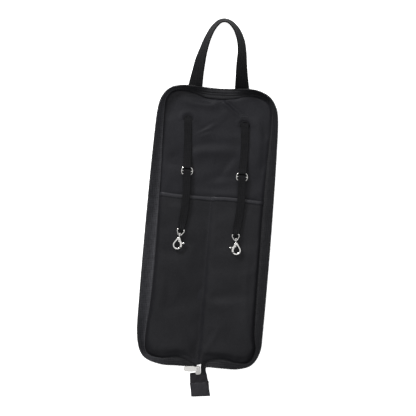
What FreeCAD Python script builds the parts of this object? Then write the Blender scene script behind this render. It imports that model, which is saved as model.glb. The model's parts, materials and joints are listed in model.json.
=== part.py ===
import FreeCAD, Part
import math
import os

from FreeCAD import Vector

# Drum stick bag, unzipped and laid open with its lining up. Millimetres.
# X runs across the two covers, +Y runs towards the carrying handle, +Z is up
# out of the lining. Z = 0 is the underside, X = 0 is the middle of the spine.

# ---- driving dimensions -------------------------------------------------
BODY_LENGTH = 455.0          # top edge to bottom edge, zipper coil included
BODY_WIDTH = 207.0           # coil to coil, laid open
HANDLE_REACH = 115.0         # handle apex beyond the top edge
TAIL_REACH = 48.0            # zipper tail beyond the bottom edge
OUTER_CORNER = 36.0          # corner radius at the coil
PANEL_CORNER = 10.0          # corner radius at the panel seam
RIM_SIDE = 16.5              # zipper tape seen from above, along the sides
RIM_END = 15.0               # zipper tape seen from above, at the two ends

OUTER_THICK = 1.6            # outer shell fabric
FOAM_THICK = 2.1             # foam padding
LINING_THICK = 0.8           # satin lining
POCKET_GAP = 5.0             # room inside a pocket
POCKET_THICK = 1.2           # pocket sheet
HEM_THICK = 0.7
HEM_WIDTH = 6.0
POCKET_DEPTH = 261.0         # pocket mouth down to the pocket's bottom
BINDING_WIDTH = 1.6
BINDING_THICK = 0.6

COIL_RADIUS = 1.1
TAPE_HEIGHT = 17.3           # zipper tape standing above the underside
TAPE_FOOT = 1.4              # tape wall, measured along the floor
TAPE_HEAD = 1.2              # tape wall, measured level, at the coil
FOLD_GAP = 0.3               # room kept where the covers meet the spine

LEG_WIDTH = 22.0             # handle webbing
LEG_THICK = 1.2
LEG_X = 38.0                 # leg centre where it leaves the top edge
LEG_LEAN = 6.7               # degrees that each leg leans inward
LEG_HIDDEN = 60.0            # leg length sewn under the outer shell
LEG_FREE = 40.0              # leg length outside, up to the loop's fold line
LOOP_HEIGHT = 24.0           # webbing standing on edge at the apex
LOOP_THICK = 1.6
LOOP_END_HEIGHT = 2.5

STRAP_WIDTH = 12.5
STRAP_THICK = 0.9
FOLD_WIDTH = 8.2             # webbing gathered where it folds round the clasp bar
STITCH_PATCH = (16.0, 13.0, 0.7)

CLASP_THICK = 4.0
PULL_LENGTH = 23.0
PULL_WIDTH = 8.8
PULL_NECK = 4.8              # width where the pull leaves its ring
SLIDER_LENGTH = 13.7
SLIDER_WIDTH = 8.3
TAIL_WIDTH = 31.0
TAIL_LEAN = 11.0             # degrees

# ---- derived places -----------------------------------------------------
TOTAL_LENGTH = HANDLE_REACH + BODY_LENGTH + TAIL_REACH
Y_TOP = TOTAL_LENGTH / 2 - HANDLE_REACH
Y_BOTTOM = Y_TOP - BODY_LENGTH
PANEL_HALF = BODY_WIDTH / 2 - RIM_SIDE
PANEL_TOP = Y_TOP - RIM_END
PANEL_BOTTOM = Y_BOTTOM + RIM_END
Z_FOAM = OUTER_THICK
Z_LINING = Z_FOAM + FOAM_THICK
Z_INSIDE = Z_LINING + LINING_THICK
Z_FOLD = Z_INSIDE / 2
Z_COIL = TAPE_HEIGHT + COIL_RADIUS
SPINE_HALF = Z_COIL + COIL_RADIUS - Z_FOLD + FOLD_GAP
Z_POCKET = Z_INSIDE + POCKET_GAP
Z_POCKET_TOP = Z_POCKET + POCKET_THICK
Z_HEM_TOP = Z_POCKET_TOP + HEM_THICK
POCKET_INSET = 2.0
POCKET_BOTTOM = PANEL_BOTTOM + POCKET_INSET
POCKET_MOUTH = POCKET_BOTTOM + POCKET_DEPTH
POCKET_HALF = PANEL_HALF - BINDING_WIDTH - POCKET_INSET
POCKET_CORNER = 8.0
SEAM_HALF = 1.0              # stitched ridge between the two pockets
SEAM_RISE = 0.5
LOOP_GAP = 3.0               # room between a leg and the loop's fold line
Y_LOOP = Y_TOP + LEG_FREE + LOOP_GAP
FAR = 400.0                  # past every edge of the bag

# Each strap: anchor, adjuster and clasp bar, as (x, y) on the lining side.
STRAPS = {
    "left": {"anchor": (-47.0, 140.0), "adjuster": (-41.6, 55.7), "bar": (-43.4, -40.0),
             "lean": -9.0, "knob": 1},
    "right": {"anchor": (45.8, 138.0), "adjuster": (48.1, 53.4), "bar": (45.6, -41.0),
              "lean": 7.5, "knob": -1},
}
SIDES = {"left": -1, "right": 1}

ADJUSTER_WIDTH = 20.0
ADJUSTER_LENGTH = 13.0
ADJUSTER_WIRE = 1.0
BAR_WIRE = 0.9
Z_ADJUSTER = 9.6
Z_STRAP = Z_HEM_TOP + 0.4    # underside of the lower webbing over the hem
BAR_RISE = 1.5               # clasp bar above the lower webbing
BAR_CLEAR = 0.95             # room between the bar and its fold of webbing
Z_CLASP = Z_STRAP + STRAP_THICK + BAR_RISE

os.makedirs("parts", exist_ok=True)


# ---- helpers ------------------------------------------------------------
def save(shape, name):
    shape.exportStep("parts/" + name + ".step")


def box(x0, x1, y0, y1, z0, z1):
    return Part.makeBox(x1 - x0, y1 - y0, z1 - z0, Vector(x0, y0, z0))


def rounded_wire(half, y_low, y_high, radius, z):
    """A rounded rectangle, symmetric about X = 0, at height z."""
    diagonal = radius * (1 - math.sqrt(0.5))
    edges = []
    corners = [(half, y_high, 1, 1), (-half, y_high, -1, 1), (-half, y_low, -1, -1), (half, y_low, 1, -1)]
    ends = []
    for x, y, sx, sy in corners:
        along_side = Vector(x, y - sy * radius, z)
        middle = Vector(x - sx * diagonal, y - sy * diagonal, z)
        along_end = Vector(x - sx * radius, y, z)
        pair = (along_side, along_end) if sx * sy > 0 else (along_end, along_side)
        edges.append(Part.Arc(pair[0], middle, pair[1]).toShape())
        ends.append(pair)
    ordered = []
    for i in range(4):
        ordered.append(edges[i])
        ordered.append(Part.makeLine(ends[i][1], ends[(i + 1) % 4][0]))
    return Part.Wire(ordered)


def rounded_slab(half, y_low, y_high, radius, z_low, z_high):
    face = Part.Face(rounded_wire(half, y_low, y_high, radius, z_low))
    return face.extrude(Vector(0, 0, z_high - z_low))


def xz_prism(points, y_low=-FAR, y_high=FAR):
    corners = [Vector(x, y_low, z) for x, z in points]
    face = Part.Face(Part.makePolygon(corners + corners[:1]))
    return face.extrude(Vector(0, y_high - y_low, 0))


def yz_prism(points, x_low, x_high):
    corners = [Vector(x_low, y, z) for y, z in points]
    face = Part.Face(Part.makePolygon(corners + corners[:1]))
    return face.extrude(Vector(x_high - x_low, 0, 0))


def cover_region(side):
    """All the space that belongs to one cover: its mitre above the fold line
    leaves room for the cover to stand upright on the spine."""
    edge = SPINE_HALF + FOLD_GAP / 2
    high = 60.0
    outline = [(edge, -high), (edge, Z_FOLD), (edge + high, Z_FOLD + high),
               (FAR, Z_FOLD + high), (FAR, -high)]
    return xz_prism([(side * x, z) for x, z in outline])


def spine_region():
    edge = SPINE_HALF - FOLD_GAP / 2
    rise = edge - 1.0
    outline = [(-edge, -FAR), (edge, -FAR), (edge, Z_FOLD), (edge - rise, Z_FOLD + rise),
               (rise - edge, Z_FOLD + rise), (-edge, Z_FOLD)]
    return xz_prism(outline)


COVER = {name: cover_region(side) for name, side in SIDES.items()}
SPINE = spine_region()


def turned(shape, centre, degrees, axis=Vector(0, 0, 1)):
    copy = shape.copy()
    copy.rotate(centre, axis, degrees)
    return copy


def ribbon(points, width, thick):
    """Webbing along a line of (y, z) points, width across X, centred on X = 0."""
    left, right = [], []
    for i, (y, z) in enumerate(points):
        y0, z0 = points[max(i - 1, 0)]
        y1, z1 = points[min(i + 1, len(points) - 1)]
        before = Vector(0, y - y0, z - z0)
        after = Vector(0, y1 - y, z1 - z)
        if before.Length < 1e-9:
            before = after
        if after.Length < 1e-9:
            after = before
        before.normalize()
        after.normalize()
        normal_0 = Vector(0, -before.z, before.y)
        normal_1 = Vector(0, -after.z, after.y)
        mitre = normal_0 + normal_1
        mitre = mitre * (thick / (mitre.Length ** 2))
        left.append((y + mitre.y, z + mitre.z))
        right.append((y - mitre.y, z - mitre.z))
    return yz_prism(left + right[::-1], -width / 2, width / 2)


def wire_loop(points, radius):
    """Round wire through straight runs, with a ball at each turn."""
    solid = None
    for start, end in zip(points, points[1:]):
        rod = Part.makeCylinder(radius, (end - start).Length, start, end - start)
        solid = rod if solid is None else solid.fuse(rod)
    for point in points:
        solid = solid.fuse(Part.makeSphere(radius, point))
    return solid.removeSplitter()


# ---- handle webbing -----------------------------------------------------
def handle_leg(side, grow=0.0):
    low = Y_TOP - LEG_HIDDEN
    high = Y_TOP + LEG_FREE
    half = LEG_WIDTH / 2 + grow
    strip = box(side * LEG_X - half, side * LEG_X + half, low - grow, high + grow, -grow, LEG_THICK + grow)
    return turned(strip, Vector(side * LEG_X, Y_TOP, 0), side * LEG_LEAN)


def handle_loop():
    """The webbing turns on edge between the legs and arches to the apex."""
    lean = math.tan(math.radians(LEG_LEAN))
    half = LEG_X - lean * (LEG_FREE + LOOP_GAP)
    reach = TOTAL_LENGTH / 2 - Y_LOOP
    centre = Vector(0, Y_LOOP, 0)
    outer_end = Vector(0, Y_LOOP + reach, 0)
    inner_end = Vector(0, Y_LOOP + reach - LOOP_THICK, 0)
    outer = Part.Ellipse(outer_end, Vector(half + LOOP_THICK / 2, Y_LOOP, 0), centre)
    inner = Part.Ellipse(inner_end, Vector(half - LOOP_THICK / 2, Y_LOOP, 0), centre)
    height = Vector(0, 0, LOOP_HEIGHT)
    ring = Part.Face(Part.Wire(outer.toShape())).extrude(height)
    ring = ring.cut(Part.Face(Part.Wire(inner.toShape())).extrude(height))
    standing = reach / 2
    side_view = [(Y_LOOP, 0), (Y_LOOP, LOOP_END_HEIGHT), (Y_LOOP + standing, LOOP_HEIGHT),
                 (Y_LOOP + FAR, LOOP_HEIGHT), (Y_LOOP + FAR, 0)]
    return ring.common(yz_prism(side_view, -FAR, FAR))


# ---- shell, padding, lining ---------------------------------------------
def panel_slab(z_low, z_high):
    return rounded_slab(PANEL_HALF, PANEL_BOTTOM, PANEL_TOP, PANEL_CORNER, z_low, z_high)


def outer_shell():
    slab = panel_slab(0, OUTER_THICK)
    for side in SIDES.values():
        slab = slab.cut(handle_leg(side, 0.05))
    return slab


def tape_ring():
    """The zipper tape as a wall that leans outward from the panel seam."""
    def wall(extra_low, extra_high):
        foot = PANEL_BOTTOM - extra_low
        head = PANEL_TOP + extra_low
        low = rounded_wire(PANEL_HALF + extra_low, foot, head, PANEL_CORNER + extra_low, 0)
        half = BODY_WIDTH / 2 - COIL_RADIUS + extra_high
        bottom = Y_BOTTOM + COIL_RADIUS - extra_high
        top = Y_TOP - COIL_RADIUS + extra_high
        corner = OUTER_CORNER - COIL_RADIUS + extra_high
        high = rounded_wire(half, bottom, top, corner, TAPE_HEIGHT)
        return Part.makeLoft([low, high], True, True)

    ring = wall(TAPE_FOOT, TAPE_HEAD / 2).cut(wall(0, -TAPE_HEAD / 2))
    for side in SIDES.values():
        ring = ring.cut(handle_leg(side, 0.05))
    return ring


def coil_run(side):
    """The coil along one cover, from the top mitre round to the bottom one."""
    half = BODY_WIDTH / 2 - COIL_RADIUS
    low = Y_BOTTOM + COIL_RADIUS
    high = Y_TOP - COIL_RADIUS
    radius = OUTER_CORNER - COIL_RADIUS
    mitre = SPINE_HALF + Z_COIL + COIL_RADIUS - Z_FOLD + FOLD_GAP
    diagonal = radius * (1 - math.sqrt(0.5))

    def at(x, y):
        return Vector(side * x, y, Z_COIL)

    start = at(mitre, high)
    top_bend = [at(half - radius, high), at(half - diagonal, high - diagonal), at(half, high - radius)]
    low_bend = [at(half, low + radius), at(half - diagonal, low + diagonal), at(half - radius, low)]
    edges = [
        Part.makeLine(start, top_bend[0]),
        Part.Arc(*top_bend).toShape(),
        Part.makeLine(top_bend[2], low_bend[0]),
        Part.Arc(*low_bend).toShape(),
        Part.makeLine(low_bend[2], at(mitre, low)),
    ]
    path = Part.Wire(edges)
    section = Part.Wire(Part.makeCircle(COIL_RADIUS, start, Vector(1, 0, 0)))
    return path.makePipeShell([section], True, False)


def seam_binding():
    top = Z_INSIDE + BINDING_THICK
    ring = panel_slab(Z_INSIDE, top)
    width = BINDING_WIDTH
    inside = rounded_slab(PANEL_HALF - width, PANEL_BOTTOM + width, PANEL_TOP - width,
                          PANEL_CORNER - width, Z_INSIDE - 1, top + 1)
    return ring.cut(inside)


# ---- pockets ------------------------------------------------------------
def pocket_sheet():
    """A sheet raised over the lining, with its outer side and bottom walls."""
    wall = POCKET_THICK
    past = POCKET_MOUTH + FAR
    outside = rounded_slab(POCKET_HALF, POCKET_BOTTOM, past, POCKET_CORNER, Z_INSIDE, Z_POCKET_TOP)
    inside = rounded_slab(POCKET_HALF - wall, POCKET_BOTTOM + wall, past - wall,
                          POCKET_CORNER - wall, Z_INSIDE - 1, Z_POCKET)
    below_mouth = box(-FAR, FAR, -FAR, POCKET_MOUTH, 0, 60)
    return outside.cut(inside).common(below_mouth)


def pocket_hem():
    return box(-POCKET_HALF, POCKET_HALF, POCKET_MOUTH - HEM_WIDTH, POCKET_MOUTH, Z_POCKET_TOP, Z_HEM_TOP)


def spine_pocket():
    """The middle of the pocket cloth, which lies on the spine lining."""
    top = Z_INSIDE + POCKET_THICK
    return box(-SPINE_HALF, SPINE_HALF, POCKET_BOTTOM, POCKET_MOUTH - HEM_WIDTH, Z_INSIDE, top)


def spine_hem():
    return box(-SPINE_HALF, SPINE_HALF, POCKET_MOUTH - HEM_WIDTH, POCKET_MOUTH, Z_INSIDE,
               Z_INSIDE + POCKET_THICK + HEM_THICK)


def spine_seam():
    """The stitched ridge that parts the two pockets, with its bar tack."""
    z_cloth = Z_INSIDE + POCKET_THICK
    return box(-SEAM_HALF, SEAM_HALF, POCKET_BOTTOM, POCKET_MOUTH - HEM_WIDTH, z_cloth, z_cloth + SEAM_RISE)


# ---- zipper end at the spine --------------------------------------------
TAIL_X = 2.9
SLIDER_Y = Y_BOTTOM - 5.2
TAIL_PIVOT = Vector(TAIL_X, SLIDER_Y, 0)
TAIL_COIL_HALF = 2.7
TAIL_NECK_HALF = 5.0
Z_TAIL_COIL = (1.6, 3.8)
Z_TAIL_TAPE = (2.4, 3.0)
Z_PLATE_LOW = 0.2
Z_PLATE_HIGH = 5.2
PLATE = 1.2
TAIL_END = -TOTAL_LENGTH / 2
CAP_LENGTH = 20.0
POST_RADIUS = 0.8


def lean_tail(shape):
    return turned(shape, TAIL_PIVOT, TAIL_LEAN)


def spine_end_tape(y_low, y_high):
    return box(-SPINE_HALF, SPINE_HALF, y_low, y_high, 0, 1.2)


def tail_reach():
    """Length of the tail along its own axis, so that its corner ends at TAIL_END."""
    lean = math.radians(TAIL_LEAN)
    corner_drop = TAIL_WIDTH / 2 * math.sin(lean)
    return (SLIDER_Y - TAIL_END - corner_drop) / math.cos(lean)


def tail_coil():
    start = SLIDER_Y - 1.0
    end = SLIDER_Y - tail_reach() + CAP_LENGTH
    coil = box(TAIL_X - TAIL_COIL_HALF, TAIL_X + TAIL_COIL_HALF, end, start, *Z_TAIL_COIL)
    return lean_tail(coil)


def tail_tape(side):
    """One half of the closed tail: narrow at the slider, then full width."""
    inner = TAIL_COIL_HALF
    shoulder = SLIDER_Y - SLIDER_LENGTH / 2 - 1.0
    end = SLIDER_Y - tail_reach() + CAP_LENGTH
    outline = [(inner, SLIDER_Y - 1.0), (TAIL_NECK_HALF, SLIDER_Y - 1.0), (TAIL_NECK_HALF, shoulder),
               (TAIL_WIDTH / 2, shoulder - 3.0), (TAIL_WIDTH / 2, end), (inner, end)]
    corners = [Vector(TAIL_X + side * x, y, Z_TAIL_TAPE[0]) for x, y in outline]
    face = Part.Face(Part.makePolygon(corners + corners[:1]))
    return lean_tail(face.extrude(Vector(0, 0, Z_TAIL_TAPE[1] - Z_TAIL_TAPE[0])))


def tail_cap():
    half = TAIL_WIDTH / 2
    end = SLIDER_Y - tail_reach()
    return lean_tail(box(TAIL_X - half, TAIL_X + half, end, end + CAP_LENGTH, 0, 4.4))


def slider_body():
    """Two plates joined by the wedge, with a channel for the coil, side
    slots for the tape and a capped post that carries the pull."""
    half = SLIDER_WIDTH / 2
    low = SLIDER_Y - SLIDER_LENGTH / 2
    high = SLIDER_Y + SLIDER_LENGTH / 2
    face = Part.Face(rounded_wire(half, low, high, 2.5, Z_PLATE_LOW))
    body = face.extrude(Vector(0, 0, Z_PLATE_HIGH - Z_PLATE_LOW))
    channel = TAIL_COIL_HALF + 0.35
    body = body.cut(box(-channel, channel, low - 1, high + 1, Z_PLATE_LOW + PLATE, Z_PLATE_HIGH - PLATE))
    body = body.cut(box(-half - 1, half + 1, low - 1, high + 1, 2.0, 3.4))
    wedge = box(-1.3, 1.3, high - 5.0, high - 0.6, Z_PLATE_LOW + PLATE, Z_PLATE_HIGH - PLATE)
    post = Part.makeCylinder(POST_RADIUS, 2.8, Vector(0, SLIDER_Y + 2.6, Z_PLATE_HIGH))
    cap = Part.makeCylinder(2.0, 0.9, Vector(0, SLIDER_Y + 2.6, Z_PLATE_HIGH + 2.4))
    body = body.fuse(wedge).fuse(post).fuse(cap).removeSplitter()
    body.translate(Vector(TAIL_X, 0, 0))
    return lean_tail(body)


def post_centre():
    lean = math.radians(TAIL_LEAN)
    return Vector(TAIL_X - 2.6 * math.sin(lean), SLIDER_Y + 2.6 * math.cos(lean), 0)


def slider_pull():
    """A flat pull with a waist and a ring that turns on the slider's post."""
    z = Z_PLATE_HIGH + 0.4
    thick = 1.6
    eye = 3.0
    blade_half = PULL_WIDTH / 2
    neck_half = PULL_NECK / 2
    upper = [(0, neck_half), (3.2, neck_half + 0.4), (6.5, blade_half), (PULL_LENGTH - 3, blade_half)]
    lower = [(x, -y) for x, y in reversed(upper)]
    corners = [Vector(-x, y, z) for x, y in upper + lower]
    blade = Part.Face(Part.makePolygon(corners + corners[:1])).extrude(Vector(0, 0, thick))
    tip = Part.makeCylinder(blade_half, thick, Vector(-PULL_LENGTH + blade_half, 0, z))
    pull = blade.cut(box(-FAR, -PULL_LENGTH + blade_half, -FAR, FAR, 0, 60)).fuse(tip)
    pull = pull.fuse(Part.makeCylinder(eye, thick, Vector(0, 0, z)))
    pull = pull.cut(Part.makeCylinder(POST_RADIUS + 0.35, 60, Vector(0, 0, 0))).removeSplitter()
    pull = turned(pull, Vector(0, 0, 0), 4.8)
    pull.translate(post_centre())
    return pull


# ---- straps -------------------------------------------------------------
def plan_angle(start, end):
    """Degrees that a strap running from start to end leans from -Y."""
    return math.degrees(math.atan2(end[0] - start[0], start[1] - end[1]))


def place_strap(shape, start, end):
    shape = shape.copy()
    shape.translate(Vector(start[0], 0, 0))
    return turned(shape, Vector(start[0], start[1], 0), plan_angle(start, end))


def strap_anchor(spec):
    x, y = spec["anchor"]
    width, length, thick = STITCH_PATCH
    return box(x - width / 2, x + width / 2, y - 2.0, y - 2.0 + length, Z_INSIDE, Z_INSIDE + thick)


def strap_upper(spec):
    """From the anchor down to just above the adjuster."""
    anchor, adjuster = spec["anchor"], spec["adjuster"]
    z_anchor = Z_INSIDE + STITCH_PATCH[2] + STRAP_THICK / 2 + 0.2
    over = Z_ADJUSTER + ADJUSTER_WIRE + STRAP_THICK / 2 + 0.1
    edge = ADJUSTER_LENGTH / 2
    top = adjuster[1] + edge
    points = [(anchor[1], z_anchor), (anchor[1] - 12.0, z_anchor),
              (top + 4.0, Z_ADJUSTER), (top + 0.8, over)]
    return place_strap(ribbon(points, STRAP_WIDTH, STRAP_THICK), anchor, adjuster)


def strap_weave(spec):
    """The webbing inside the adjuster: over a rail, under the bar, over a rail."""
    x, y = spec["adjuster"]
    rail = ADJUSTER_LENGTH / 2 - ADJUSTER_WIRE
    edge = ADJUSTER_LENGTH / 2
    over = Z_ADJUSTER + ADJUSTER_WIRE + STRAP_THICK / 2 + 0.1
    under = Z_ADJUSTER - BAR_WIRE - STRAP_THICK / 2 - 0.2
    points = [(y + edge + 0.1, over), (y + rail - 0.7, over), (y + 1.6, under), (y - 1.6, under),
              (y - rail + 0.7, over), (y - edge - 0.1, over)]
    shape = ribbon(points, STRAP_WIDTH, STRAP_THICK)
    shape.translate(Vector(x, 0, 0))
    return shape


def strap_lower(spec):
    """From the adjuster over the pocket hem, gathered round the clasp bar and
    back up to the adjuster's bar."""
    adjuster, bar = spec["adjuster"], spec["bar"]
    edge = ADJUSTER_LENGTH / 2
    over = Z_ADJUSTER + ADJUSTER_WIRE + STRAP_THICK / 2 + 0.1
    z_low = Z_STRAP + STRAP_THICK / 2
    z_high = Z_CLASP + LOOP_WIRE + BAR_CLEAR + STRAP_THICK / 2
    z_pair = z_low + STRAP_THICK + 0.2
    turn = z_high - Z_CLASP
    slant = turn * 0.7
    y_bar = bar[1]
    points = [(adjuster[1] - edge - 0.3, over), (POCKET_MOUTH + 8.0, z_low), (y_bar + 8.0, z_low),
              (y_bar + 1.0, Z_CLASP - turn), (y_bar - slant, Z_CLASP - slant), (y_bar - turn, Z_CLASP),
              (y_bar - slant, Z_CLASP + slant), (y_bar + 1.0, z_high), (y_bar + 8.0, z_pair),
              (POCKET_MOUTH + 8.0, z_pair), (adjuster[1] - edge - 0.3, over + STRAP_THICK + 0.2)]
    webbing = ribbon(points, STRAP_WIDTH, STRAP_THICK)
    for side in SIDES.values():
        inner, outer = sorted((side * FOLD_WIDTH / 2, side * STRAP_WIDTH))
        webbing = webbing.cut(box(inner, outer, y_bar - 8.0, y_bar + 4.0, 0, 60))
    return place_strap(webbing, adjuster, bar)


def adjuster_frame(spec):
    """An oval slide with a middle bar."""
    x, y = spec["adjuster"]
    half = ADJUSTER_WIDTH / 2
    rail = ADJUSTER_LENGTH / 2 - ADJUSTER_WIRE
    bow = half - ADJUSTER_WIRE
    flat = STRAP_WIDTH / 2 + 0.4
    edges = []
    for side in (1, -1):
        start = Vector(side * flat, side * rail, 0)
        end = Vector(side * flat, -side * rail, 0)
        edges.append(Part.Arc(start, Vector(side * bow, 0, 0), end).toShape())
        edges.append(Part.makeLine(end, Vector(-side * flat, -side * rail, 0)))
    path = Part.Wire(edges)
    frame = None
    for edge in path.Edges:
        start = edge.valueAt(edge.FirstParameter)
        tangent = edge.tangentAt(edge.FirstParameter)
        section = Part.Wire(Part.makeCircle(ADJUSTER_WIRE, start, tangent))
        tube = Part.Wire([edge]).makePipeShell([section], True, False)
        frame = tube if frame is None else frame.fuse(tube)
        frame = frame.fuse(Part.makeSphere(ADJUSTER_WIRE, start))
    middle = Part.makeCylinder(BAR_WIRE, 2 * bow, Vector(-bow, 0, 0), Vector(1, 0, 0))
    frame = frame.fuse(middle)
    frame.translate(Vector(x, y, Z_ADJUSTER))
    return frame


# ---- swivel clasps ------------------------------------------------------
# Built along -Y from the clasp bar at the origin, then turned and moved.
LOOP_WIRE = 1.0
LOOP_HALF = 5.6
COLLAR_Y = -9.0
EYE_Y = -25.5
HEAD_Y = -15.5
HEAD_RADIUS = 3.2
RING_RADIUS = 7.5
EYE_RADIUS = 4.7
GATE_Y = (-29.0, -18.5)
GATE_THICK = 1.8
GATE_PIVOT = (1.6, -16.6)
PIN_RADIUS = 0.7
KNOB_Y = -20.6
KNOB_RADIUS = 2.4


def place_clasp(shape, spec):
    x, y = spec["bar"]
    shape = shape.copy()
    shape.rotate(Vector(0, 0, 0), Vector(0, 0, 1), spec["lean"])
    shape.translate(Vector(x, y, Z_CLASP))
    return shape


def clasp_loop(spec):
    """A D of wire that hangs in the webbing, with a collar for the swivel."""
    collar_top = COLLAR_Y + 1.2
    points = [Vector(-2.4, collar_top - 1.2, 0), Vector(-LOOP_HALF, -3.0, 0), Vector(-LOOP_HALF, 0, 0),
              Vector(LOOP_HALF, 0, 0), Vector(LOOP_HALF, -3.0, 0), Vector(2.4, collar_top - 1.2, 0)]
    loop = wire_loop(points, LOOP_WIRE)
    collar = Part.makeCylinder(2.4, 2.4, Vector(0, COLLAR_Y - 1.2, 0), Vector(0, 1, 0))
    bore = Part.makeCylinder(1.35, 8.0, Vector(0, COLLAR_Y - 4.0, 0), Vector(0, 1, 0))
    return place_clasp(loop.fuse(collar).cut(bore), spec)


def drop_face(radius, head, y_ring, y_head):
    """A teardrop: a ring end, a smaller head end and two tangent sides."""
    gap = y_head - y_ring
    tilt = math.asin((radius - head) / gap)
    cos, sin = math.cos(tilt), math.sin(tilt)
    ring_right = Vector(radius * cos, y_ring + radius * sin, 0)
    ring_left = Vector(-radius * cos, y_ring + radius * sin, 0)
    head_right = Vector(head * cos, y_head + head * sin, 0)
    head_left = Vector(-head * cos, y_head + head * sin, 0)
    edges = [
        Part.Arc(ring_left, Vector(0, y_ring - radius, 0), ring_right).toShape(),
        Part.makeLine(ring_right, head_right),
        Part.Arc(head_right, Vector(0, y_head + head, 0), head_left).toShape(),
        Part.makeLine(head_left, ring_left),
    ]
    return Part.Face(Part.Wire(edges))


def drop_ring(thick):
    outer = drop_face(RING_RADIUS, HEAD_RADIUS, EYE_Y, HEAD_Y)
    eye = drop_face(EYE_RADIUS, 1.8, EYE_Y, EYE_Y + 6.4)
    ring = outer.extrude(Vector(0, 0, thick))
    ring = ring.cut(eye.extrude(Vector(0, 0, thick)))
    ring.translate(Vector(0, 0, -thick / 2))
    return ring


def clasp_hook(spec):
    """Ring with its gate side open, neck, and the head that the collar holds."""
    knob = spec["knob"]
    ring = drop_ring(CLASP_THICK)
    rim = [edge for edge in ring.Edges if abs(abs(edge.CenterOfMass.z) - CLASP_THICK / 2) < 1e-6]
    ring = ring.makeFillet(0.9, rim)
    gate_room = box(0.4, 20.0, GATE_Y[0], GATE_Y[1], -10, 10)
    pivot_x, pivot_y = GATE_PIVOT
    slot_half = GATE_THICK / 2 + 0.2
    slot = box(-0.4, 20.0, pivot_y - 4.0, pivot_y + 2.2, -slot_half, slot_half)
    ring = ring.cut(gate_room).cut(slot)
    pin = Part.makeCylinder(PIN_RADIUS, CLASP_THICK - 0.6, Vector(pivot_x, pivot_y, 0.3 - CLASP_THICK / 2))
    neck = Part.makeCylinder(1.1, 6.2, Vector(0, -13.0, 0), Vector(0, 1, 0))
    bead = Part.makeCylinder(2.0, 1.6, Vector(0, COLLAR_Y + 1.6, 0), Vector(0, 1, 0))
    hook = ring.fuse(pin).fuse(neck).fuse(bead)
    if knob < 0:
        hook = hook.mirror(Vector(0, 0, 0), Vector(1, 0, 0))
    return place_clasp(hook, spec)


def clasp_gate(spec):
    """The sprung gate that closes the ring, with its thumb knob."""
    knob = spec["knob"]
    tip_clear = 1.15         # the tip dips as it swings inward
    arm_half = 1.3
    half = GATE_THICK / 2
    pivot_x, pivot_y = GATE_PIVOT
    low, high = GATE_Y
    side = drop_ring(GATE_THICK).common(box(0.4, 20.0, low + tip_clear, high + 0.2, -10, 10))
    side = side.common(box(2.2, 20.0, low, high + 1, -10, 10))
    arm = box(pivot_x - arm_half, pivot_x + arm_half, high - 1.0, pivot_y, -half, half)
    shoulder = box(pivot_x - arm_half, 5.6, high - 1.6, high - 0.3, -half, half)
    eye = Part.makeCylinder(arm_half, GATE_THICK, Vector(pivot_x, pivot_y, -half))
    stem = Part.makeCylinder(arm_half, 3.4, Vector(5.2, KNOB_Y, 0), Vector(1, 0, 0))
    button = Part.makeSphere(KNOB_RADIUS, Vector(9.4, KNOB_Y, 0))
    gate = side.fuse(arm).fuse(shoulder).fuse(eye).fuse(stem).fuse(button)
    gate = gate.cut(Part.makeCylinder(PIN_RADIUS + 0.1, 20, Vector(pivot_x, pivot_y, -10)))
    if knob < 0:
        gate = gate.mirror(Vector(0, 0, 0), Vector(1, 0, 0))
    return place_clasp(gate, spec)


# ---- build --------------------------------------------------------------
def build_cover(name):
    side = SIDES[name]
    region = COVER[name]
    spec = STRAPS[name]
    save(outer_shell().common(region), name + "_outer_shell")
    save(panel_slab(Z_FOAM, Z_LINING).common(region), name + "_foam_pad")
    save(panel_slab(Z_LINING, Z_INSIDE).common(region), name + "_lining")
    save(tape_ring().common(region), name + "_zipper_tape")
    save(coil_run(side), name + "_zipper_coil")
    save(seam_binding().common(region), name + "_seam_binding")
    save(pocket_sheet().common(region), name + "_pocket_sheet")
    save(pocket_hem().common(region), name + "_pocket_hem")
    save(handle_leg(side), name + "_handle_leg")
    save(strap_anchor(spec), name + "_strap_anchor")


def build_spine():
    save(outer_shell().common(SPINE), "spine_outer_shell")
    save(panel_slab(Z_FOAM, Z_LINING).common(SPINE), "spine_foam_pad")
    save(panel_slab(Z_LINING, Z_INSIDE).common(SPINE), "spine_lining")
    save(spine_pocket().common(SPINE), "spine_pocket_sheet")
    save(spine_hem().common(SPINE), "spine_pocket_hem")
    save(spine_seam(), "pocket_divider_seam")
    save(spine_end_tape(PANEL_TOP, Y_TOP).common(SPINE), "top_end_tape")
    notch_half = 6.5
    slider_notch = box(TAIL_X - notch_half, TAIL_X + notch_half, Y_BOTTOM - 1, Y_BOTTOM + 4.5, -1, 5)
    bottom_tape = spine_end_tape(Y_BOTTOM + 1.5, PANEL_BOTTOM)
    save(bottom_tape.cut(slider_notch).common(SPINE), "bottom_end_tape")
    save(tail_coil(), "tail_coil")
    save(tail_tape(-1), "left_tail_tape")
    save(tail_tape(1), "right_tail_tape")
    save(tail_cap(), "tail_end_cap")
    save(slider_body(), "zipper_slider")
    save(slider_pull(), "slider_pull")
    save(handle_loop(), "handle_loop")


def build_strap(name):
    spec = STRAPS[name]
    save(strap_upper(spec), name + "_strap_upper_webbing")
    save(strap_weave(spec), name + "_strap_adjuster_webbing")
    save(strap_lower(spec), name + "_strap_lower_webbing")
    save(adjuster_frame(spec), name + "_strap_adjuster")
    save(clasp_loop(spec), name + "_clasp_loop")
    save(clasp_hook(spec), name + "_clasp_hook")
    save(clasp_gate(spec), name + "_clasp_gate")


build_spine()
for cover_name in SIDES:
    build_cover(cover_name)
    build_strap(cover_name)
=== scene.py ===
import json
import math

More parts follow.
